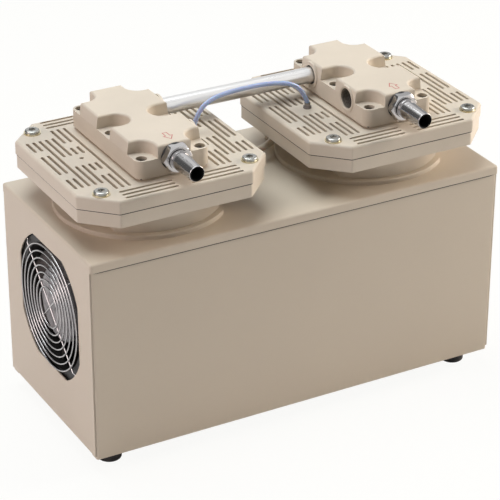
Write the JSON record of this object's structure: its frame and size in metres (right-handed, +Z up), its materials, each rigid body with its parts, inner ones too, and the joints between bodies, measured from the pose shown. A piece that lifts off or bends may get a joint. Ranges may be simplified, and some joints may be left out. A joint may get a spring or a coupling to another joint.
{
  "type": "diaphragm vacuum pump",
  "caption": "Diaphragm vacuum pump with two slotted heads joined by a tube, on a painted sheet-metal cabinet with an end fan and rubber feet.",
  "frame": {"origin": "on the standing surface, midway between the four feet", "axes": "+X along the cabinet away from the fan, -Y towards the hose nipples, +Z up"},
  "size_m": [0.5454, 0.2799, 0.3875],
  "materials": {
    "bearing_bronze": "bearing metal",
    "beige_tubing": "soft tubing",
    "black_plastic": "moulded",
    "black_rubber": "matt",
    "blue_tubing": "soft tubing",
    "brass_fitting": "dull",
    "cabinet_sheet": "fine satin paint",
    "cast_crankcase": "as cast",
    "cast_heads": "satin paint on a casting",
    "copper": "enamelled wire",
    "fan_casting": "black paint",
    "fan_hub_grey": "moulded",
    "fan_plastic": "moulded",
    "grey_rubber": "matt",
    "laminations": "varnished",
    "machined_steel": "turned",
    "motor_iron": "painted dark",
    "nickel": "bright plated",
    "stainless": "drawn",
    "white_plastic": "moulded",
    "zinc_steel": "zinc plated"
  },
  "bodies": {
    "cabinet": {"balance_fittings": "black_plastic", "balance_hose": "beige_tubing", "base_tray": "cabinet_sheet", "block_screws": "zinc_steel", "blue_hose": "blue_tubing", "cabinet_cover": "cabinet_sheet", "cable_gland": "black_plastic", "capacitor": "white_plastic", "connecting_tube": "stainless", "cover_screws": "zinc_steel", "crankcase_left": "cast_crankcase", "crankcase_right": "cast_crankcase", "diaphragm_left": "black_rubber", "diaphragm_right": "black_rubber", "fan_frame": "fan_casting", "fan_guard": "nickel", "fan_nuts": "zinc_steel", "foot_screws": "zinc_steel", "front_panel": "cabinet_sheet", "head_bolts": "stainless", "head_cover_left": "cast_heads", "head_cover_right": "cast_heads", "head_housing_left": "cast_heads", "head_housing_right": "cast_heads", "head_washers": "zinc_steel", "hose_fittings": "brass_fitting", "hose_nipple_left": "nickel", "hose_nipple_right": "nickel", "motor_bracket": "motor_iron", "motor_end_shields": "motor_iron", "motor_housing": "motor_iron", "mount_bolts": "zinc_steel", "nipple_rings": "black_rubber", "pedestal_left": "cast_heads", "pedestal_right": "cast_heads", "port_block_left": "cast_heads", "port_block_right": "cast_heads", "rear_panel": "cabinet_sheet", "rubber_feet": "black_rubber", "shaft_bearings": "machined_steel", "stator_core": "laminations", "stator_windings": "copper", "switch_frame": "black_plastic", "tube_seals": "black_rubber", "valve_flaps": "grey_rubber", "valve_plate_left": "cast_heads", "valve_plate_right": "cast_heads", "vibration_mounts": "grey_rubber"},
    "drive": {"drive_shaft": "machined_steel", "motor_rotor": "laminations", "counterweights": "machined_steel"},
    "rod_left": {"connecting_rod_left": "cast_crankcase", "rod_bearing_left": "bearing_bronze", "clamp_disc_left": "machined_steel"},
    "rod_right": {"connecting_rod_right": "cast_crankcase", "rod_bearing_right": "bearing_bronze", "clamp_disc_right": "machined_steel"},
    "fan": {"fan_hub": "fan_hub_grey", "fan_blades": "fan_plastic"},
    "rocker": {"rocker": "black_plastic"}
  },
  "joints": [
    {"name": "drive_spin", "type": "hinge", "parent": "cabinet", "child": "drive", "pos_m": [0, 0, 0.12], "axis": [1, 0, 0], "continuous": true, "deforming": ["diaphragm_left", "diaphragm_right"]},
    {"name": "rod_left_pivot", "type": "hinge", "parent": "drive", "child": "rod_left", "pos_m": [-0.14875, 0, 0.116], "axis": [1, 0, 0], "continuous": true},
    {"name": "rod_right_pivot", "type": "hinge", "parent": "drive", "child": "rod_right", "pos_m": [0.14875, 0, 0.124], "axis": [1, 0, 0], "continuous": true},
    {"name": "fan_spin", "type": "hinge", "parent": "cabinet", "child": "fan", "pos_m": [-0.2431, -0.004, 0.167], "axis": [1, 0, 0], "continuous": true},
    {"name": "rocker_tilt", "type": "hinge", "parent": "cabinet", "child": "rocker", "pos_m": [0.14, 0.1149, 0.075], "axis": [1, 0, 0], "range_deg": [-16, 0]}
  ],
  "couplings": [
    {"joint": "rod_left_pivot", "follows": "drive_spin", "ratio": -1},
    {"joint": "rod_right_pivot", "follows": "drive_spin", "ratio": -1}
  ]
}
